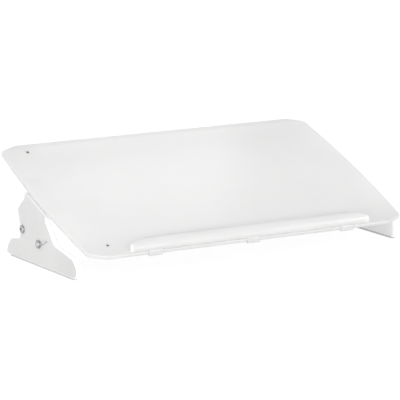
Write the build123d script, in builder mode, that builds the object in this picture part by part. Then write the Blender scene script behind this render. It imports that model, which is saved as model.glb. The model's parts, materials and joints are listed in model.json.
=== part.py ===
from build123d import *
from math import atan2, cos, degrees, hypot, radians, sin
import os

# Sloping document holder: an opal acrylic top on two acrylic legs, a clear ledge clipped to its
# front edge, and a shallow drawer that runs in two grooved rails under the top.
# Millimetres. +X is to the user's right, +Y away from the user, +Z up, Z = 0 is the desk.
# "Back" is a distance up the slope from the front edge of the top, or from the toe tip of a leg.

# ---- top
slope_angle = 22.2             # the steepest setting, in which it stands
flatten_range = 12.0           # how far the top can be laid flatter
front_height = 34.5            # top surface above the desk at the front edge
panel_length = 287.0
panel_side_inset = 3.0         # from the outer face of a leg, at the widest place of the bowed sides
panel_front_taper = 6.5        # each side, where it meets the front corner cut
panel_rear_taper = 7.5
panel_widest_back = 138.8
panel_thickness = 5.0
corner_cut_across = 26.0
corner_cut_back = 11.0
corner_radius = 8.0
panel_edge_radius = 1.0

# ---- legs and feet
leg_span = 527.0               # over the outer faces
leg_thickness = 8.0
toe_setback = 22.0             # toe tip behind the front edge of the top
foot_length = 199.5
leg_edge_radius = 0.8
leg_blank_extra = 10.0
strip_height = 3.0
strip_width = 6.0
strip_toe_gap = 10.5
strip_heel_gap = 7.0

# ---- pivot and clamp hardware
pivot_back = 152.6
pivot_height = 44.2
clamp_back = 106.0
clamp_height = 31.7
bolt_diameter = 6.0
bolt_head_diameter = 11.0
bolt_head_height = 2.4
bolt_head_chamfer = 0.8
hex_key_size = 4.0
hex_key_depth = 1.4
nut_width = 10.0
nut_height = 5.0
clamp_head_height = 3.0
washer_diameter = 14.0
washer_thickness = 0.8

# ---- clearances
moving_gap = 0.3               # between pieces that move past each other
pin_clearance = 0.05           # radial, on pivots
slot_clearance = 0.3           # each side of the clamp bolt in its curved slot

# ---- clamp levers
lever_hub_height = 2.4
lever_hub_chamfer = 0.5
lever_blade_height = 1.8
lever_elbow_out = 11.4
lever_elbow_rise = 2.4
lever_elbow_radius = 1.3
lever_tip_out = 23.9
lever_tip_rise = 8.6
lever_tip_radius = 0.6
bolt_end_proud = 0.5
bolt_end_chamfer = 0.4

# ---- arms
arm_thickness = 5.0
arm_edge_radius = 0.8
arm_boss_radius = 10.5
arm_top_front = 150.0
arm_top_rear = 186.0
flange_front = 118.0
flange_rear = 200.0
flange_width = 23.4
flange_thickness = 4.0
flange_corner_radius = 5.0
arm_screw_backs = (130.0, 160.0, 190.0)
arm_screw_inset = 11.4         # from the inner face of the upright
arm_screw_diameter = 3.5
arm_screw_bite = 3.5           # into the top
arm_screw_head_diameter = 7.0
arm_screw_head_height = 2.2
cross_recess_length = 4.2
cross_recess_width = 0.9
cross_recess_depth = 1.1

# ---- rails
rail_flange_gap = 5.0          # beside the flange of an arm
rail_width = 10.0
rail_height = 11.2
rail_front = 19.5
rail_rear_setback = 10.0       # from the rear edge of the top
groove_depth = 5.0
groove_height = 3.6
groove_roof = 5.1              # rail left above the groove
rail_edge_radius = 1.0
rail_screw_front_inset = 6.0   # from the front end of the rail
rail_screw_rear_inset = 10.2
rail_screw_diameter = 2.5
rail_screw_head_diameter = 3.6
rail_screw_head_height = 1.2
rail_screw_proud = 0.3
rail_screw_bite = 3.6          # into the rail

# ---- drawer
drawer_travel = 60.0
drawer_front = 18.5
drawer_rear_room = 27.0        # behind it, to the rear end of the rails
drawer_side_gap = 3.0
drawer_top_gap = 2.5           # under the top
drawer_depth = 8.2
drawer_floor = 2.0
drawer_wall = 2.2
drawer_front_wall = 5.0
drawer_corner_radius = 4.0
drawer_edge_radius = 0.8
pen_trough_length = 44.0
divider_thickness = 2.0
divider_height = 4.0
grip_length = 130.0
grip_width = 2.6
grip_depth = 2.0
grip_front_wall = 1.6
runner_front = 22.5
runner_thickness = 3.0
runner_side_gap = 0.6
stop_pin_back = 60.0
stop_pin_diameter = 3.0
stop_pin_bite = 1.5            # into the roof of the groove
stop_pin_wall = 0.7            # rail left inboard of a pin

# ---- bar and magnetic catch behind the drawer
bar_thickness = 8.0
magnet_diameter = 6.0
magnet_length = 4.0
magnet_offset = 120.0
catch_gap = 0.4
catch_plate_width = 14.0
catch_plate_height = 5.0
catch_plate_thickness = 0.8

# ---- ledge
ledge_length = 386.0
ledge_thickness = 2.5
ledge_setback = 3.0            # behind the front edge of the top
ledge_reach = 16.0             # how far it curls back over the top
ledge_rise = 11.5
ledge_end_reach = 5.0          # what is left of the curl at each end
ledge_end_slant = 31.0         # length of the slanting cut at each end
ledge_end_radius = 9.0
ledge_tip_radius = 3.0
clip_spacing = 155.0
clip_width = 20.0
clip_thickness = 2.0
clip_height = 2.6              # on the front of the ledge
clip_tongue = 12.0             # under the top
clip_bend_radius = 1.9
clip_edge_radius = 0.6

# ---- places that follow from the sizes
slope_run = cos(radians(slope_angle))
slope_fall = sin(radians(slope_angle))


def corner_reach(back, depth, radius):
    """How far, level, a rounded corner reaches that lies this far along the slope and off it."""
    return (back - radius) * slope_run + (depth - radius) * slope_fall + radius


rear_reach = corner_reach(panel_length, panel_thickness, panel_edge_radius)
clip_reach = corner_reach(clip_thickness, clip_height, clip_bend_radius)
front_y = (clip_reach - rear_reach) / 2
toe_y = front_y + toe_setback

pivot_place = (pivot_back, pivot_height)
clamp_place = (clamp_back, clamp_height)
clamp_radius = hypot(clamp_back - pivot_back, clamp_height - pivot_height)
clamp_angle = degrees(atan2(clamp_height - pivot_height, clamp_back - pivot_back))

leg_outer = leg_span / 2
leg_inner = leg_outer - leg_thickness
arm_outer = leg_inner - washer_thickness - moving_gap
arm_inner = arm_outer - arm_thickness
hardware_outer = arm_inner - moving_gap
arm_screw_offset = arm_inner - arm_screw_inset
flange_bottom = -panel_thickness - flange_thickness

panel_half_width = leg_outer - panel_side_inset
rail_offset = arm_inner - flange_width - rail_flange_gap - rail_width / 2
rail_inner = rail_offset - rail_width / 2
rail_rear = panel_length - rail_rear_setback
rail_screw_backs = (rail_front + rail_screw_front_inset, rail_rear - rail_screw_rear_inset)
rail_bottom = -panel_thickness - rail_height
groove_wall = rail_inner + groove_depth
groove_top = -panel_thickness - groove_roof
groove_middle = groove_top - groove_height / 2

drawer_width = 2 * (rail_inner - drawer_side_gap)
drawer_rear = rail_rear - drawer_rear_room
drawer_top = -panel_thickness - drawer_top_gap
drawer_bottom = drawer_top - drawer_depth
runner_outer = groove_wall - runner_side_gap
stop_pin_offset = rail_inner + stop_pin_wall + stop_pin_diameter / 2
notch_margin = stop_pin_diameter / 2 + moving_gap
catch_middle = (drawer_top + drawer_bottom) / 2
bar_front = drawer_rear + catch_plate_thickness + catch_gap

sides = ((-1, "left"), (1, "right"))
arm_screw_places = [(side * arm_screw_offset, back) for side, _ in sides for back in arm_screw_backs]
rail_screw_places = [(-rail_offset, back) for back in rail_screw_backs]


def slope_normal(flattened):
    """Direction square to the top when it is laid flatter by this many degrees."""
    angle = radians(slope_angle - flattened)
    return Vector(0, -sin(angle), cos(angle))


# The slope plane lies in the top surface: local x to the right, y up the slope, z out of it.
slope = Plane(origin=(0, front_y, front_height), x_dir=(1, 0, 0), z_dir=slope_normal(0))
pivot_point = Vector(0, toe_y + pivot_back, pivot_height)
top_above_pivot = (slope.origin - pivot_point).dot(slope.z_dir)
leg_blank_height = pivot_height + top_above_pivot + leg_blank_extra


def slope_when(flattened):
    """The plane of the top surface when the top is laid flatter by this many degrees."""
    normal = slope_normal(flattened)
    return Plane(origin=pivot_point + normal * top_above_pivot, x_dir=(1, 0, 0), z_dir=normal)


def cross_section(back):
    """Plane across the slope, facing the user: local x to the right, y out of the top."""
    origin = slope.from_local_coords((0, back, 0))
    return Plane(origin=origin, x_dir=(1, 0, 0), z_dir=-slope.y_dir)


def profile_plane(across):
    """Plane square to X: local x up the slope, y out of the top."""
    origin = slope.from_local_coords((across, 0, 0))
    return Plane(origin=origin, x_dir=slope.y_dir, z_dir=(1, 0, 0))


def side_plane(across):
    """Plane square to X: local x back from the toe tip, y up from the desk."""
    return Plane(origin=(across, toe_y, 0), x_dir=(0, 1, 0), z_dir=(1, 0, 0))


def lies_below(depth):
    """A test for edges whose middle is further under the top than this."""
    return lambda edge: slope.to_local_coords(edge.center()).Z < depth


def lower_edges(piece, direction):
    """The straight edges along a direction that are furthest under the top."""
    edges = piece.edges().filter_by(Axis(slope.origin, direction))
    return edges.group_by(Axis(slope.origin, slope.z_dir))[0]


def outer_rim(piece, side):
    """The round edge of the face that is furthest out on this side."""
    outer_face = piece.faces().filter_by(Axis.X).sort_by(lambda face: side * face.center().X)[-1]
    return outer_face.outer_wire().edges()


def save(piece, name):
    piece.part.label = name
    export_step(piece.part, f"parts/{name}.step")


os.makedirs("parts", exist_ok=True)


# ---- top: a sheet with bowed sides and cut corners
with BuildPart() as panel:
    with BuildSketch(slope) as outline:
        with BuildLine():
            rear_half = panel_half_width - panel_rear_taper
            front_half = panel_half_width - panel_front_taper
            Line((corner_cut_across - rear_half, panel_length), (rear_half - corner_cut_across, panel_length))
            Line((corner_cut_across - front_half, 0), (front_half - corner_cut_across, 0))
            for side, _ in sides:
                bowed = ThreePointArc((side * rear_half, panel_length - corner_cut_back),
                                      (side * panel_half_width, panel_widest_back),
                                      (side * front_half, corner_cut_back))
                Line(bowed @ 0, (side * (rear_half - corner_cut_across), panel_length))
                Line(bowed @ 1, (side * (front_half - corner_cut_across), 0))
        make_face()
        fillet(outline.vertices(), corner_radius)
    extrude(amount=-panel_thickness)
    by_height = panel.faces().sort_by(Axis(slope.origin, slope.z_dir))
    fillet(by_height[0].edges() + by_height[-1].edges(), panel_edge_radius)
    # stepped holes for the two rail screws, on the left only
    with BuildSketch(slope):
        with Locations(*rail_screw_places):
            Circle(rail_screw_diameter / 2)
    extrude(amount=-panel_thickness, mode=Mode.SUBTRACT)
    with BuildSketch(slope):
        with Locations(*rail_screw_places):
            Circle(rail_screw_head_diameter / 2)
    extrude(amount=rail_screw_proud - rail_screw_head_height, mode=Mode.SUBTRACT)
    # blind holes in the underside for the arm screws
    with BuildSketch(slope.offset(-panel_thickness)):
        with Locations(*arm_screw_places):
            Circle(arm_screw_diameter / 2)
    extrude(amount=arm_screw_bite, mode=Mode.SUBTRACT)
save(panel, "panel")


# ---- legs: back from the toe tip, height, and radius of each corner of the side view
leg_corners = (
    (3.0, strip_height, 5.5),
    (0.0, 16.0, 9.0),
    (12.0, 28.0, 9.0),
    (62.0, 37.5, 16.0),
    (87.0, 66.0, 8.0),
    (86.0, leg_blank_height, 0.0),
    (144.5, leg_blank_height, 0.0),
    (147.0, 88.5, 8.0),
    (167.0, 70.5, 6.0),
    (160.3, 50.0, 20.0),
    (160.0, 31.0, 4.0),
    (188.0, 25.0, 6.0),
    (197.0, 13.0, 10.0),
    (foot_length, strip_height, 1.5),
)

for side, name in sides:
    with BuildPart() as leg:
        with BuildSketch(side_plane(side * leg_inner)):
            with BuildLine():
                FilletPolyline(*[(back, up) for back, up, _ in leg_corners],
                               radius=[radius for _, _, radius in leg_corners], close=True)
            make_face()
        extrude(amount=side * leg_thickness)
        # the upper edge keeps clear of the top at its steepest and at its flattest
        for flattened in (0, flatten_range):
            with BuildSketch(slope_when(flattened).offset(-panel_thickness - moving_gap)):
                Rectangle(2 * leg_span, 2 * panel_length)
            extrude(amount=leg_blank_height, mode=Mode.SUBTRACT)
        fillet(leg.faces().filter_by(Axis.X).edges(), leg_edge_radius)
        with BuildSketch(side_plane(side * leg_inner)):
            with Locations(pivot_place, clamp_place):
                Circle(bolt_diameter / 2)
        extrude(amount=side * leg_thickness, mode=Mode.SUBTRACT)
    save(leg, f"leg_{name}")

strip_length = foot_length - strip_toe_gap - strip_heel_gap
strip_offset = leg_outer - leg_thickness / 2
for side, name in sides:
    with BuildPart() as foot_strip:
        with BuildSketch():
            with Locations((side * strip_offset, toe_y + strip_toe_gap + strip_length / 2)):
                SlotOverall(strip_length, strip_width, rotation=90)
        extrude(amount=strip_height)
    save(foot_strip, f"foot_strip_{name}")


# ---- pivot and clamp hardware, one of each on either side
with BuildPart() as pivot_bolts:
    for side, _ in sides:
        with BuildSketch(side_plane(side * leg_outer)):
            with Locations(pivot_place):
                Circle(bolt_head_diameter / 2)
        extrude(amount=side * bolt_head_height)
        with BuildSketch(side_plane(side * leg_outer)):
            with Locations(pivot_place):
                Circle(bolt_diameter / 2)
        extrude(amount=side * (hardware_outer - nut_height - leg_outer))
        with BuildSketch(side_plane(side * (leg_outer + bolt_head_height))):
            with Locations(pivot_place):
                RegularPolygon(hex_key_size / 2, 6, major_radius=False)
        extrude(amount=-side * hex_key_depth, mode=Mode.SUBTRACT)
        chamfer(outer_rim(pivot_bolts, side), bolt_head_chamfer)
save(pivot_bolts, "pivot_bolts")

with BuildPart() as pivot_nuts:
    for side, _ in sides:
        with BuildSketch(side_plane(side * hardware_outer)):
            with Locations(pivot_place):
                RegularPolygon(nut_width / 2, 6, major_radius=False)
                Circle(bolt_diameter / 2, mode=Mode.SUBTRACT)
        extrude(amount=-side * nut_height)
save(pivot_nuts, "pivot_nuts")

with BuildPart() as clamp_bolts:
    for side, _ in sides:
        with BuildSketch(side_plane(side * hardware_outer)):
            with Locations(clamp_place):
                Circle(bolt_head_diameter / 2)
        extrude(amount=-side * clamp_head_height)
        with BuildSketch(side_plane(side * hardware_outer)):
            with Locations(clamp_place):
                Circle(bolt_diameter / 2)
        extrude(amount=side * (leg_outer + moving_gap + lever_hub_height + bolt_end_proud - hardware_outer))
        chamfer(outer_rim(clamp_bolts, side), bolt_end_chamfer)
save(clamp_bolts, "clamp_bolts")

with BuildPart() as friction_washers:
    for side, _ in sides:
        with BuildSketch(side_plane(side * leg_inner)):
            with Locations(pivot_place, clamp_place):
                Circle(washer_diameter / 2)
                Circle(bolt_diameter / 2, mode=Mode.SUBTRACT)
        extrude(amount=-side * washer_thickness)
save(friction_washers, "friction_washers")


# ---- clamp levers: a hub on the clamp bolt and a cranked blade that points to the toe
elbow_place = (clamp_back - lever_elbow_out, clamp_height + lever_elbow_rise)
tip_place = (clamp_back - lever_tip_out, clamp_height + lever_tip_rise)

for side, name in sides:
    lever_face = side_plane(side * (leg_outer + moving_gap))
    with BuildPart() as lever:
        for near_place, far_place, far_radius in ((clamp_place, elbow_place, lever_elbow_radius),
                                                  (elbow_place, tip_place, lever_tip_radius)):
            with BuildSketch(lever_face):
                with Locations(near_place):
                    Circle(lever_elbow_radius)
                with Locations(far_place):
                    Circle(far_radius)
                make_hull()
            extrude(amount=side * lever_blade_height)
        with BuildSketch(lever_face):
            with Locations(clamp_place):
                Circle(bolt_head_diameter / 2)
        extrude(amount=side * lever_hub_height)
        with BuildSketch(lever_face):
            with Locations(clamp_place):
                Circle(bolt_diameter / 2 + pin_clearance)
        extrude(amount=side * lever_hub_height, mode=Mode.SUBTRACT)
        chamfer(outer_rim(lever, side), lever_hub_chamfer)
    save(lever, f"lever_{name}")


# ---- arms: an upright that swings on the pivot bolt, with a flange under the top
def seen_from_side(back, depth):
    """A point this far up the slope and this deep under the top, on a side plane."""
    place = side_plane(0).to_local_coords(slope.from_local_coords((0, back, -depth)))
    return (place.X, place.Y)


slot_end_angle = radians(clamp_angle + flatten_range)
slot_end = (pivot_back + clamp_radius * cos(slot_end_angle),
            pivot_height + clamp_radius * sin(slot_end_angle))

for side, name in sides:
    with BuildPart() as arm:
        with BuildSketch(side_plane(side * arm_inner)):
            with Locations(pivot_place, clamp_place, slot_end):
                Circle(arm_boss_radius)
            with BuildLine():
                Polyline(seen_from_side(arm_top_front, panel_thickness),
                         seen_from_side(arm_top_rear, panel_thickness),
                         seen_from_side(arm_top_rear, panel_thickness + flange_thickness),
                         seen_from_side(arm_top_front, panel_thickness + flange_thickness), close=True)
            make_face()
            make_hull()
        extrude(amount=side * arm_thickness)
        outline_edges = arm.edges().filter_by(Axis.X, reverse=True)
        fillet(outline_edges.filter_by(lies_below(flange_bottom)), arm_edge_radius)
        with BuildSketch(slope.offset(-panel_thickness)):
            with Locations((side * (arm_inner - flange_width / 2), (flange_front + flange_rear) / 2)):
                RectangleRounded(flange_width, flange_rear - flange_front, flange_corner_radius)
            with Locations(*arm_screw_places):
                Circle(arm_screw_diameter / 2, mode=Mode.SUBTRACT)
        extrude(amount=-flange_thickness)
        with BuildSketch(side_plane(side * arm_inner)):
            with Locations(pivot_place):
                Circle(bolt_diameter / 2 + pin_clearance)
            with BuildLine(mode=Mode.PRIVATE):
                slot_path = CenterArc(pivot_place, clamp_radius, clamp_angle, flatten_range)
            SlotArc(slot_path, bolt_diameter + 2 * slot_clearance)
        extrude(amount=side * arm_thickness, mode=Mode.SUBTRACT)
    save(arm, f"arm_{name}")

with BuildPart() as arm_screws:
    with BuildSketch(slope.offset(flange_bottom)):
        with Locations(*arm_screw_places):
            Circle(arm_screw_head_diameter / 2)
    extrude(amount=-arm_screw_head_height)
    with BuildSketch(slope.offset(flange_bottom)):
        with Locations(*arm_screw_places):
            Circle(arm_screw_diameter / 2)
    extrude(amount=flange_thickness + arm_screw_bite)
    with BuildSketch(slope.offset(flange_bottom - arm_screw_head_height)):
        with Locations(*arm_screw_places):
            Rectangle(cross_recess_length, cross_recess_width)
            Rectangle(cross_recess_width, cross_recess_length)
    extrude(amount=cross_recess_depth, mode=Mode.SUBTRACT)
save(arm_screws, "arm_screws")


# ---- rails: a bar under each side of the top with a groove in its inner face
for side, name in sides:
    with BuildPart() as rail:
        with BuildSketch(cross_section(rail_rear)):
            with Locations((side * rail_offset, rail_bottom + rail_height / 2)):
                Rectangle(rail_width, rail_height)
        extrude(amount=rail_rear - rail_front)
        fillet(lower_edges(rail, slope.y_dir), rail_edge_radius)
        with BuildSketch(cross_section(drawer_rear + moving_gap)):
            with Locations((side * (rail_inner + groove_depth / 2), groove_middle)):
                Rectangle(groove_depth, groove_height)
        extrude(amount=drawer_rear + moving_gap - rail_front, mode=Mode.SUBTRACT)
        with BuildSketch(slope.offset(rail_bottom)):
            with Locations((side * stop_pin_offset, stop_pin_back)):
                Circle(stop_pin_diameter / 2)
        extrude(amount=groove_top + stop_pin_bite - rail_bottom, mode=Mode.SUBTRACT)
        if name == "left":
            with BuildSketch(slope.offset(-panel_thickness)):
                with Locations(*rail_screw_places):
                    Circle(rail_screw_diameter / 2)
            extrude(amount=-rail_screw_bite, mode=Mode.SUBTRACT)
    save(rail, f"rail_{name}")

with BuildPart() as rail_screws:
    with BuildSketch(slope.offset(rail_screw_proud)):
        with Locations(*rail_screw_places):
            Circle(rail_screw_head_diameter / 2)
    extrude(amount=-rail_screw_head_height)
    with BuildSketch(slope.offset(rail_screw_proud - rail_screw_head_height)):
        with Locations(*rail_screw_places):
            Circle(rail_screw_diameter / 2)
    extrude(amount=rail_screw_head_height - rail_screw_proud - panel_thickness - rail_screw_bite)
save(rail_screws, "rail_screws")

with BuildPart() as stop_pins:
    with BuildSketch(slope.offset(rail_bottom)):
        with Locations(*[(side * stop_pin_offset, stop_pin_back) for side, _ in sides]):
            Circle(stop_pin_diameter / 2)
    extrude(amount=groove_top + stop_pin_bite - rail_bottom)
save(stop_pins, "stop_pins")


# ---- bar behind the drawer, with two magnets that hold the drawer shut
with BuildPart() as rear_bar:
    with BuildSketch(cross_section(bar_front)):
        with Locations((0, rail_bottom + rail_height / 2)):
            Rectangle(2 * rail_inner, rail_height)
    extrude(amount=-bar_thickness)
    fillet(lower_edges(rear_bar, slope.x_dir), rail_edge_radius)
    with BuildSketch(cross_section(bar_front)):
        with Locations((-magnet_offset, catch_middle), (magnet_offset, catch_middle)):
            Circle(magnet_diameter / 2)
    extrude(amount=-magnet_length, mode=Mode.SUBTRACT)
save(rear_bar, "rear_bar")

with BuildPart() as catch_magnets:
    with BuildSketch(cross_section(bar_front)):
        with Locations((-magnet_offset, catch_middle), (magnet_offset, catch_middle)):
            Circle(magnet_diameter / 2)
    extrude(amount=-magnet_length)
save(catch_magnets, "catch_magnets")

with BuildPart() as catch_plates:
    with BuildSketch(cross_section(drawer_rear)):
        with Locations((-magnet_offset, catch_middle), (magnet_offset, catch_middle)):
            Rectangle(catch_plate_width, catch_plate_height)
    extrude(amount=-catch_plate_thickness)
save(catch_plates, "catch_plates")


# ---- drawer: a shallow tray with runner strips on its sides
drawer_length = drawer_rear - drawer_front
inner_front = drawer_front + drawer_front_wall
inner_rear = drawer_rear - drawer_wall
inner_width = drawer_width - 2 * drawer_wall
floor_top = drawer_bottom + drawer_floor

with BuildPart() as drawer_tray:
    with BuildSketch(slope.offset(drawer_bottom)):
        with Locations((0, drawer_front + drawer_length / 2)):
            RectangleRounded(drawer_width, drawer_length, drawer_corner_radius)
    extrude(amount=drawer_depth)
    by_height = drawer_tray.faces().sort_by(Axis(slope.origin, slope.z_dir))
    fillet(by_height[0].edges() + by_height[-1].edges(), drawer_edge_radius)
    with BuildSketch(slope.offset(floor_top)):
        with Locations((0, (inner_front + inner_rear) / 2)):
            RectangleRounded(inner_width, inner_rear - inner_front, drawer_corner_radius - drawer_wall)
    extrude(amount=drawer_depth, mode=Mode.SUBTRACT)
    # finger groove under the front wall
    with BuildSketch(slope.offset(drawer_bottom)):
        with Locations((0, drawer_front + grip_front_wall + grip_width / 2)):
            SlotOverall(grip_length, grip_width)
    extrude(amount=grip_depth, mode=Mode.SUBTRACT)
save(drawer_tray, "drawer_tray")

with BuildPart() as pen_divider:
    with BuildSketch(slope.offset(floor_top)):
        with Locations((0, inner_front + pen_trough_length + divider_thickness / 2)):
            Rectangle(inner_width, divider_thickness)
    extrude(amount=divider_height)
save(pen_divider, "pen_divider")

for side, name in sides:
    with BuildPart() as runner:
        runner_width = runner_outer - drawer_width / 2
        with BuildSketch(slope.offset(groove_middle - runner_thickness / 2)):
            with Locations((side * (runner_outer - runner_width / 2), (runner_front + drawer_rear) / 2)):
                Rectangle(runner_width, drawer_rear - runner_front)
            # notch in which the stop pin of the rail runs
            notch_width = runner_outer - stop_pin_offset + notch_margin
            notch_length = drawer_travel + 2 * notch_margin
            with Locations((side * (runner_outer - notch_width / 2),
                            stop_pin_back - notch_margin + notch_length / 2)):
                Rectangle(notch_width, notch_length, mode=Mode.SUBTRACT)
        extrude(amount=runner_thickness)
    save(runner, f"runner_{name}")


# ---- ledge: a curled strip that keeps papers on the slope
with BuildPart() as ledge:
    with BuildSketch(profile_plane(0)):
        with BuildLine():
            curl_top = ledge_setback + ledge_reach
            inner_reach = ledge_reach - ledge_thickness
            outer_rise = ledge_rise - clip_height
            for reach, rise in ((ledge_reach, outer_rise), (inner_reach, outer_rise - ledge_thickness)):
                EllipticalCenterArc((curl_top, clip_height), reach, rise, start_angle=90, arc_size=90)
            Line((curl_top, ledge_rise), (curl_top, ledge_rise - ledge_thickness))
            Polyline((ledge_setback, clip_height), (ledge_setback, 0),
                     (ledge_setback + ledge_thickness, 0), (ledge_setback + ledge_thickness, clip_height))
        make_face()
    extrude(amount=ledge_length / 2, both=True)
    with BuildSketch(slope):
        end = ledge_length / 2
        end_back = ledge_setback + ledge_end_reach
        with BuildLine():
            FilletPolyline((-end, 0), (end, 0), (end, end_back), (end - ledge_end_slant, curl_top),
                           (ledge_end_slant - end, curl_top), (-end, end_back),
                           radius=(0, 0, ledge_tip_radius, ledge_end_radius, ledge_end_radius,
                                   ledge_tip_radius), close=True)
        make_face()
    extrude(amount=2 * ledge_rise, mode=Mode.INTERSECT)
save(ledge, "ledge")

with BuildPart() as ledge_clips:
    for middle in (-clip_spacing, 0, clip_spacing):
        with BuildSketch(profile_plane(middle)):
            with BuildLine():
                Polyline((ledge_setback, 0), (ledge_setback, clip_height), (-clip_thickness, clip_height),
                         (-clip_thickness, -panel_thickness - clip_thickness),
                         (clip_tongue, -panel_thickness - clip_thickness),
                         (clip_tongue, -panel_thickness), (0, -panel_thickness), (0, 0), close=True)
            make_face()
        extrude(amount=clip_width / 2, both=True)
    up_the_slope = Axis(slope.origin, slope.y_dir)
    fillet(ledge_clips.edges().filter_by(Axis.X).group_by(up_the_slope)[0], clip_bend_radius)
    front_faces = ledge_clips.faces().group_by(up_the_slope)[0]
    fillet(front_faces.edges().filter_by(Axis(slope.origin, slope.z_dir)), clip_edge_radius)
save(ledge_clips, "ledge_clips")
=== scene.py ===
import json
from math import pi, radians

import bpy
from mathutils import Matrix, Vector


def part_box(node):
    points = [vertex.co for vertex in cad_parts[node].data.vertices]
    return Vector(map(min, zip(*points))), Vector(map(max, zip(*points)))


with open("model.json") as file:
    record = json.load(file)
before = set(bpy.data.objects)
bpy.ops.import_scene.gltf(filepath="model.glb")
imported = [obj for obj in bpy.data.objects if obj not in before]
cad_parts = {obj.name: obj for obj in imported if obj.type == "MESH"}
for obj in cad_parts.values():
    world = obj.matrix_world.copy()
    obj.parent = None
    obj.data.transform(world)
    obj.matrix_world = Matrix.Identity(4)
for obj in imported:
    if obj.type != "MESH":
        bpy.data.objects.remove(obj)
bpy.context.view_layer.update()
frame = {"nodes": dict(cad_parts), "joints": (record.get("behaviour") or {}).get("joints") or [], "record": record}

# Looks of the sloping document holder. Metres, in the frame of the CAD model:
# +X to the user's right, +Y away from the user, +Z up, Z = 0 is the desk.

# ---- camera
camera_place = Vector((-1.8600, -2.9890, 0.7633))
camera_azimuth = radians(-31.83)
camera_elevation = radians(11.218)
camera_roll = radians(0.2)
focal_length = 230.2           # millimetres
sensor_width = 36.0            # millimetres
farthest_seen = 100.0

# ---- light and stage
middle = Vector((0, 0, 0.06))  # what the lamps point at
room_strength = 0.71           # of its light on the object
white_strength = 1.0           # of the white that an eye sees
sheen_distance = 0.55          # of the lamps that only shine in gloss, from the place they shine on
floor_size = 40.0
floor_shade = 0.92             # as the object's light sees it
shadow_shade = 0.26            # share of the floor's light that can fall into shadow, for an eye
floor_lift = 0.88              # the rest of the floor's white, for an eye

# ---- directions, and places read from the frame
right = Vector((1, 0, 0))
away = Vector((0, 1, 0))
up = Vector((0, 0, 1))
joints = {joint["name"]: joint for joint in frame["joints"]}
up_slope = -Vector(joints["drawer_slide"]["axis"]).normalized()
out_of_top = right.cross(up_slope)
out_of_curl = (out_of_top - up_slope).normalized()  # forwards and up, off the outside of the ledge


def box_middle(node):
    low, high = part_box(node)
    return (low + high) / 2


top_low, top_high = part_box("panel")
top_front = Vector((0, top_low.y, top_low.z))
front_edge = top_low.dot(up_slope)      # how far up the slope the box of the top starts
rear_edge = top_high.dot(up_slope)      # and where it ends
ledge_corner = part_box("ledge")[1]       # rear upper corner of the ledge's box, at its right end
ledge_back = ledge_corner.dot(up_slope)
toe_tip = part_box("leg_left")[0].y
pivot_axis = box_middle("pivot_bolts")
clamp_axis = box_middle("clamp_bolts")

# ---- shared values of the materials
acrylic_ior = 1.49
plastic_ior = 1.46
blue_share = 0.995             # blue of a grey, as a share of its red and green
white_shade = 0.99
usual_noise = (0.3, 0.7)       # most of Blender's noise lies between these
on_face, on_edge = 0.99, 0.86  # how squarely the surface of a sheet looks along the sheet's normal
mix_sides = (6, 7)             # the color sockets of Blender's mix node
mix_result = 2

# ---- sloping top
rear_painted_shade = (0.0125, 0.0095)  # painted shade: its rear strip darkens between these distances from its rear edge
rear_painted_shade_share = 0.955       # of the shade of its faces
front_painted_shade = 0.048             # painted shade: it darkens over this length down to its front edge
front_painted_shade_share = 0.93

# ---- legs, and the light painted as emission on their edges, toe and inner faces
painted_toe_shade = (0.07, 0.02)      # painted shade: the outer face darkens between these distances from the toe's tip
painted_toe_shade_share = 0.935
leg_painted_glow = 0.36
faint_painted_glow = 0.2               # share of the painted glow on upper edges and inner faces
painted_toe_glow = (0.014, 0.002)    # an inner face's painted glow grows to the full between these, from the toe's tip
painted_glow_top = pivot_axis.z + 0.028         # the painted glow of the edges has faded to a faint one at this height
painted_glow_fade = 0.006                       # over this much below it

# ---- ledge and its clips
painted_bend_shade = (0.007, 0.002)    # painted shade: the bend darkens between these distances from the ledge's rear edge
painted_end_light = (0.006, 0.003)     # painted light: its ends light up between these, from their cut faces
end_painted_glow = 0.06
curl_painted_glow = 0.11

# ---- turned metal: bands of another shade (start, end, shade), outwards from the axis
bolt_bands = [(0.0040, 0.0048, 0.42)]   # rim of the head, painted darker as the shade round its edge
lever_bands = [
    (0.0042, 0.0052, 0.42),             # rim of the hub, painted darker as the shade round its edge
    (0.0060, 0.0070, 0.60),             # blade beside the hub
    (0.0098, 0.0106, 0.36),             # elbow of the blade
    (0.0126, 0.0140, 0.82),             # blade beyond its elbow
]
ring_pitch = 0.0003                     # of the tool marks


# ------------------------------------------------------------------ materials
def grey(value):
    return (value, value, value * blue_share, 1.0)


def neutral(value):
    return (value, value, value, 1.0)


class Tree:
    """The nodes of a material or of the room."""

    def __init__(self, owner):
        owner.use_nodes = True
        self.nodes = owner.node_tree.nodes
        self.links = owner.node_tree.links

    def feed(self, socket, value):
        """Links another node's socket, or sets a constant."""
        if isinstance(value, bpy.types.NodeSocket):
            self.links.new(value, socket)
        else:
            socket.default_value = value

    def math(self, operation, first, second=0.0):
        node = self.nodes.new("ShaderNodeMath")
        node.operation = operation
        self.feed(node.inputs[0], first)
        self.feed(node.inputs[1], second)
        return node.outputs[0]

    def mix(self, factor, first, second):
        """Two colors, or sockets that carry them, mixed by a factor."""
        node = self.nodes.new("ShaderNodeMix")
        node.data_type = "RGBA"
        self.feed(node.inputs["Factor"], factor)
        for side, color in zip(mix_sides, (first, second)):
            self.feed(node.inputs[side], color)
        return node.outputs[mix_result]


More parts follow.
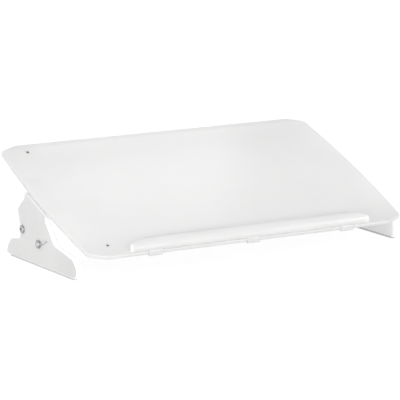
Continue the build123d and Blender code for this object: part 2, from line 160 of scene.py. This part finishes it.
class Surface(Tree):
    """A node material: constants go on the shader, patterns are added by the methods."""

    def __init__(self, name, **constants):
        self.material = bpy.data.materials.new(name)
        super().__init__(self.material)
        self.shader = self.nodes["Principled BSDF"]
        self.place = self.nodes.new("ShaderNodeTexCoord")
        for socket, value in constants.items():
            self.shader.inputs[socket.replace("_", " ")].default_value = value

    def set(self, socket, value):
        self.links.new(value, self.shader.inputs[socket])

    def vector(self, operation, first, second=(0, 0, 0)):
        node = self.nodes.new("ShaderNodeVectorMath")
        node.operation = operation
        self.feed(node.inputs[0], first)
        self.feed(node.inputs[1], second)
        return node.outputs["Value" if operation in ("DOT_PRODUCT", "LENGTH") else "Vector"]

    def remap(self, value, first=0.0, last=1.0, start=usual_noise[0], end=usual_noise[1]):
        """Runs from first to last as the value runs from start to end, and stays level outside them."""
        node = self.nodes.new("ShaderNodeMapRange")
        self.feed(node.inputs["Value"], value)
        node.inputs["From Min"].default_value = start
        node.inputs["From Max"].default_value = end
        node.inputs["To Min"].default_value = first
        node.inputs["To Max"].default_value = last
        return node.outputs["Result"]

    def noise(self, scale, detail, stretch=(1, 1, 1)):
        """Noise that is fixed to the piece; a stretch under 1 draws it out along that axis."""
        node = self.nodes.new("ShaderNodeTexNoise")
        self.feed(node.inputs["Vector"], self.vector("MULTIPLY", self.place.outputs["Object"], stretch))
        node.inputs["Scale"].default_value = scale
        node.inputs["Detail"].default_value = detail
        return node.outputs["Fac"]

    def along(self, direction, source="Object"):
        """How far a place, or a normal, reaches along a direction."""
        return self.vector("DOT_PRODUCT", self.place.outputs[source], direction)

    def off_axis(self, axis):
        """Distance from the line along X through this place."""
        from_axis = self.vector("SUBTRACT", self.place.outputs["Object"], axis)
        return self.vector("LENGTH", self.vector("MULTIPLY", from_axis, (0, 1, 1)))

    def edge_mask(self, face_normal):
        """0 on the flat faces of a sheet and 1 round its edges."""
        facing = self.math("ABSOLUTE", self.along(face_normal, "Normal"))
        return self.remap(facing, start=on_face, end=on_edge)

    def mottle(self, pattern, shade, darker, lighter):
        """A grey that wanders between two shares of a shade, as a pattern does."""
        return self.mix(self.remap(pattern), grey(shade * darker), grey(shade * lighter))

    def roughen(self, pattern, rough, less, more):
        """Lets the roughness wander from a little less than this to a little more."""
        self.set("Roughness", self.remap(pattern, rough - less, rough + more))

    def glow(self, strength):
        """Paints white light on the surface as emission."""
        self.shader.inputs["Emission Color"].default_value = neutral(1)
        self.set("Emission Strength", strength)

    def bump(self, height, distance, strength):
        node = self.nodes.new("ShaderNodeBump")
        self.feed(node.inputs["Height"], height)
        node.inputs["Distance"].default_value = distance
        node.inputs["Strength"].default_value = strength
        self.set("Normal", node.outputs["Normal"])


def satin_sheet(name, shade, face_normal, light_reach):
    """Opal acrylic sheet: satin faces with faint clouds, handling marks and hairline scratches."""
    surface = Surface(name, IOR=acrylic_ior, Subsurface_Weight=1.0, Subsurface_Scale=light_reach,
                      Subsurface_Radius=(1, 1, 1))
    clouds = surface.noise(scale=9.0, detail=4.0)
    handling = surface.noise(scale=46.0, detail=6.0, stretch=(0.5, 1, 1))
    hairlines = surface.noise(scale=420.0, detail=2.0, stretch=(0.03, 1, 1))
    pores = surface.noise(scale=2600.0, detail=2.0)
    scratches = surface.remap(hairlines, start=0.68, end=0.72)
    scratch_rough = surface.math("MULTIPLY", scratches, 0.10)
    scratch_depth = surface.math("MULTIPLY", scratches, 0.8)

    faces = surface.mottle(clouds, shade, darker=0.99, lighter=1.01)
    marks = surface.remap(handling, last=0.30, start=0.52, end=0.75)
    faces = surface.mix(marks, faces, grey(shade * 0.97))
    rough = surface.math("ADD", surface.remap(clouds, 0.29, 0.33), surface.remap(handling, 0.0, 0.03))
    surface.set("Roughness", surface.math("ADD", rough, scratch_rough))
    surface.bump(surface.math("SUBTRACT", pores, scratch_depth), distance=0.00002, strength=0.35)
    return surface, faces, surface.edge_mask(face_normal)


def top_sheet(name, shade, side_edge_painted_shade, front_edge_painted_light):
    """The sloping sheet: painted shade towards its front edge and in a narrow strip along its rear one."""
    surface, faces, edge = satin_sheet(name, shade, out_of_top, light_reach=0.004)
    back = surface.along(up_slope)
    # painted shade: darker in a strip along the rear edge and towards the front edge
    in_rear_shade = surface.remap(back, start=rear_edge - rear_painted_shade[0], end=rear_edge - rear_painted_shade[1])
    in_front_shade = surface.remap(back, start=front_edge + front_painted_shade, end=front_edge)
    faces = surface.mix(in_rear_shade, faces, grey(shade * rear_painted_shade_share))
    faces = surface.mix(in_front_shade, faces, grey(shade * front_painted_shade_share))
    # painted light and shade: round edges lighter where they face front or back, darker where they face sideways
    to_side = surface.math("ABSOLUTE", surface.along(right, "Normal"))
    edges = surface.mix(surface.remap(to_side), grey(front_edge_painted_light), grey(side_edge_painted_shade))
    surface.set("Base Color", surface.mix(edge, faces, edges))
    return surface.material


def leg_sheet(name, outer_shade, inner_face_painted_light):
    """A leg, with light painted as emission on its edges, its toe and, faintly, its inner face."""
    surface, faces, edge = satin_sheet(name, outer_shade, right, light_reach=0.006)
    back = surface.along(away)
    outwards = surface.math("MULTIPLY", surface.along(right), surface.along(right, "Normal"))
    inner = surface.remap(outwards, start=0.0, end=-0.1)
    # painted shade: the outer face darker towards the toe
    toe_shade_mask = surface.remap(back, start=toe_tip + painted_toe_shade[0], end=toe_tip + painted_toe_shade[1])
    faces = surface.mix(toe_shade_mask, faces, grey(outer_shade * painted_toe_shade_share))
    # painted light: the inner face lighter than the outer one, and the edges near white
    faces = surface.mix(inner, faces, grey(inner_face_painted_light))
    surface.set("Base Color", surface.mix(edge, faces, grey(white_shade)))

    # painted light: emission on the lower edges, near the toe and faintly over the inner face
    low = surface.remap(surface.along(up), 1.0, faint_painted_glow, start=painted_glow_top - painted_glow_fade, end=painted_glow_top)
    in_toe = surface.remap(back, start=toe_tip + painted_toe_glow[0], end=toe_tip + painted_toe_glow[1])
    from_face = surface.math("MULTIPLY", inner, surface.math("MAXIMUM", in_toe, faint_painted_glow))
    painted_glow_mask = surface.math("MAXIMUM", surface.math("MULTIPLY", edge, low), from_face)
    surface.glow(surface.math("MULTIPLY", painted_glow_mask, leg_painted_glow))
    return surface.material


def clear_sheet(name, hazed_shade, bend_painted_shade):
    """Clear acrylic, hazed; painted shade on its bend, painted light on its polished ends and in its curl."""
    surface = Surface(name, IOR=acrylic_ior, Transmission_Weight=0.12)
    haze = surface.noise(scale=30.0, detail=5.0, stretch=(0.3, 1, 1))
    streaks = surface.noise(scale=320.0, detail=2.0, stretch=(0.04, 1, 1))
    ripples = surface.noise(scale=160.0, detail=3.0, stretch=(0.4, 1, 1))
    clear = surface.remap(haze, start=0.38, end=0.62)
    in_streak = surface.remap(streaks, last=0.4, start=0.45, end=0.65)
    back = surface.along(up_slope)
    in_bend_shade = surface.remap(back, start=ledge_back - painted_bend_shade[0], end=ledge_back - painted_bend_shade[1])
    to_side = surface.math("ABSOLUTE", surface.along(right))
    at_lit_end = surface.remap(to_side, start=ledge_corner.x - painted_end_light[0], end=ledge_corner.x - painted_end_light[1])

    faces = surface.mix(clear, grey(hazed_shade), grey(white_shade))
    # painted shade: darker along the bend
    faces = surface.mix(in_bend_shade, faces, grey(bend_painted_shade))
    faces = surface.mix(in_streak, faces, grey(white_shade))
    # painted light: the ends near white here, and given emission below
    surface.set("Base Color", surface.mix(at_lit_end, faces, grey(white_shade)))
    # painted light: emission inside the curl
    in_curl = surface.remap(surface.along(-out_of_curl, "Normal"))
    from_end = surface.math("MULTIPLY", at_lit_end, end_painted_glow)
    surface.glow(surface.math("MAXIMUM", from_end, surface.math("MULTIPLY", in_curl, curl_painted_glow)))
    surface.set("Roughness", surface.remap(haze, 0.14, 0.26))
    surface.bump(ripples, distance=0.00004, strength=0.25)
    return surface.material


def moulded_plastic(name, shade, rough):
    """Moulded plastic with a fine spark-eroded grain and faint flow marks."""
    surface = Surface(name, IOR=plastic_ior)
    flow = surface.noise(scale=24.0, detail=5.0, stretch=(0.4, 1, 1))
    surface.set("Base Color", surface.mottle(flow, shade, darker=0.96, lighter=1.03))
    surface.roughen(flow, rough, less=0.05, more=0.06)
    surface.bump(surface.noise(scale=1500.0, detail=3.0), distance=0.00004, strength=0.5)
    return surface.material


def metal(name, shade, rough):
    """Plated or blackened metal with fine marks and slight wear."""
    surface = Surface(name, Metallic=1.0)
    wear = surface.noise(scale=300.0, detail=5.0)
    surface.set("Base Color", surface.mottle(wear, shade, darker=0.85, lighter=1.15))
    surface.roughen(wear, rough, less=0.06, more=0.08)
    surface.bump(surface.noise(scale=1800.0, detail=2.0), distance=0.00002, strength=0.4)
    return surface.material


def turned_metal(name, shade, rough, axis, bands):
    """Metal turned about an axis along X: ring-shaped tool marks, and bands of other shades."""
    surface = Surface(name, Metallic=1.0)
    off_axis = surface.off_axis(axis)
    wear = surface.noise(scale=300.0, detail=5.0)
    color = grey(shade)
    for start, end, band_shade in bands:
        color = surface.mix(surface.remap(off_axis, start=start, end=end), color, grey(band_shade))
    worn = surface.remap(wear, last=0.35)
    surface.set("Base Color", surface.mix(worn, color, grey(shade * 0.55)))
    surface.roughen(wear, rough, less=0.05, more=0.08)
    rings = surface.math("SINE", surface.math("MULTIPLY", off_axis, 2 * pi / ring_pitch))
    marks = surface.math("ADD", rings, surface.noise(scale=1500.0, detail=2.0))
    surface.bump(marks, distance=0.00001, strength=0.4)
    return surface.material


def soft_matt(name, shade):
    """Rubber or pressed fibre: matt, with a speckle."""
    surface = Surface(name, Roughness=0.8)
    speckle = surface.noise(scale=700.0, detail=4.0)
    surface.set("Base Color", surface.mottle(speckle, shade, darker=0.85, lighter=1.15))
    surface.bump(speckle, distance=0.00008, strength=0.5)
    return surface.material


looks = {
    "opal_acrylic": top_sheet("opal_acrylic", shade=0.865, side_edge_painted_shade=0.82, front_edge_painted_light=0.88),
    "leg_acrylic": leg_sheet("leg_acrylic", outer_shade=0.83, inner_face_painted_light=0.97),
    "clear_acrylic": clear_sheet("clear_acrylic", hazed_shade=0.925, bend_painted_shade=0.86),
    "bracket_plastic": moulded_plastic("bracket_plastic", shade=0.80, rough=0.45),
    "drawer_plastic": moulded_plastic("drawer_plastic", shade=0.82, rough=0.42),
    "runner_plastic": moulded_plastic("runner_plastic", shade=0.58, rough=0.28),
    "lever_steel": turned_metal("lever_steel", shade=0.50, rough=0.34, axis=clamp_axis, bands=lever_bands),
    "bolt_steel": turned_metal("bolt_steel", shade=0.58, rough=0.34, axis=pivot_axis, bands=bolt_bands),
    "dark_steel": metal("dark_steel", shade=0.12, rough=0.40),
    "zinc_steel": metal("zinc_steel", shade=0.62, rough=0.32),
    "magnet": metal("magnet", shade=0.72, rough=0.16),
    "fibre_washer": soft_matt("fibre_washer", shade=0.12),
    "rubber": soft_matt("rubber", shade=0.68),
}

for subpart in frame["record"]["subparts"]:
    node = frame["nodes"][subpart["node"]]
    node.data.materials.clear()
    node.data.materials.append(looks[subpart["material_slot"]])


# ------------------------------------------------------------------ stage
def seen_by_eye(tree):
    """1 for the camera and for what gloss and glass show of the stage, 0 for the light on the object."""
    light_path = tree.nodes.new("ShaderNodeLightPath")
    seen = light_path.outputs["Is Camera Ray"]
    for ray in ("Is Glossy Ray", "Is Transmission Ray"):
        seen = tree.math("MAXIMUM", seen, light_path.outputs[ray])
    return seen


def make_floor():
    """A pale floor: plain paper to the object's light, near white with a soft shadow to an eye."""
    half = floor_size / 2
    corners = [(-half, -half, 0), (half, -half, 0), (half, half, 0), (-half, half, 0)]
    mesh = bpy.data.meshes.new("floor")
    mesh.from_pydata(corners, [], [(0, 1, 2, 3)])
    floor = bpy.data.objects.new("floor", mesh)
    bpy.context.scene.collection.objects.link(floor)
    material = bpy.data.materials.new("floor")
    mesh.materials.append(material)
    tree = Tree(material)
    tree.nodes.clear()
    seen = seen_by_eye(tree)
    paper = tree.nodes.new("ShaderNodeBsdfDiffuse")
    tree.feed(paper.inputs["Color"], tree.mix(seen, neutral(floor_shade), neutral(shadow_shade)))
    lift = tree.nodes.new("ShaderNodeEmission")
    tree.feed(lift.inputs["Strength"], tree.math("MULTIPLY", seen, floor_lift))
    both = tree.nodes.new("ShaderNodeAddShader")
    tree.feed(both.inputs[0], paper.outputs[0])
    tree.feed(both.inputs[1], lift.outputs[0])
    output = tree.nodes.new("ShaderNodeOutputMaterial")
    tree.feed(output.inputs["Surface"], both.outputs[0])


def make_room():
    """A white room: plain light on the object, and white where an eye looks at it."""
    world = bpy.data.worlds.new("room")
    bpy.context.scene.world = world
    tree = Tree(world)
    tree.nodes.clear()
    choice = tree.nodes.new("ShaderNodeMixShader")
    tree.feed(choice.inputs["Fac"], seen_by_eye(tree))
    for side, strength in ((1, room_strength), (2, white_strength)):
        light = tree.nodes.new("ShaderNodeBackground")
        light.inputs["Color"].default_value = neutral(1)
        light.inputs["Strength"].default_value = strength
        tree.feed(choice.inputs[side], light.outputs[0])
    output = tree.nodes.new("ShaderNodeOutputWorld")
    tree.feed(output.inputs["Surface"], choice.outputs[0])


def make_lamp(name, place, aim, width, height, power):
    """A soft box: its width lies along X, as nearly as its aim allows."""
    backward = (Vector(place) - aim).normalized()
    along = (right - backward * backward.x).normalized()
    data = bpy.data.lights.new(name, "AREA")
    data.shape = "RECTANGLE"
    data.size = width
    data.size_y = height
    data.energy = power
    lamp = bpy.data.objects.new(name, data)
    bpy.context.scene.collection.objects.link(lamp)
    lamp.location = place
    lamp.rotation_euler = Matrix((along, backward.cross(along), backward)).transposed().to_euler()
    lamp.visible_camera = False
    return lamp


def make_sheen(name, across, back, facing, width, height, power):
    """A soft box that only shines in gloss, where a face at this place mirrors it to the camera."""
    target = top_front + right * across + up_slope * back
    mirrored = (target - camera_place).reflect(facing).normalized()
    lamp = make_lamp(name, target + mirrored * sheen_distance, target, width, height, power)
    lamp.visible_diffuse = False


def make_camera():
    """The camera that took the photograph, as far as it could be fitted."""
    data = bpy.data.cameras.new("camera")
    data.lens = focal_length
    data.sensor_width = sensor_width
    data.clip_end = farthest_seen
    camera = bpy.data.objects.new("camera", data)
    bpy.context.scene.collection.objects.link(camera)
    camera.matrix_world = (Matrix.Translation(camera_place)
                           @ Matrix.Rotation(camera_azimuth, 4, "Z")
                           @ Matrix.Rotation(pi / 2 - camera_elevation, 4, "X")
                           @ Matrix.Rotation(camera_roll, 4, "Z"))
    bpy.context.scene.camera = camera


make_camera()
make_floor()
make_room()
make_lamp("front_light", place=(0.4, -2.4, 0.55), aim=middle, width=1.6, height=0.8, power=8.5)
make_lamp("side_light", place=(-2.1, -1.5, 0.20), aim=middle, width=1.4, height=0.36, power=16)
make_sheen("sheen_left", across=-0.115, back=0.155, facing=out_of_top, width=0.34, height=0.12, power=0.42)
make_sheen("sheen_right", across=0.19, back=0.125, facing=out_of_top, width=0.30, height=0.10, power=0.20)
make_sheen("ledge_glint", across=0.155, back=0.010, facing=out_of_curl, width=0.12, height=0.12, power=0.30)
bpy.context.scene.view_settings.view_transform = "Standard"
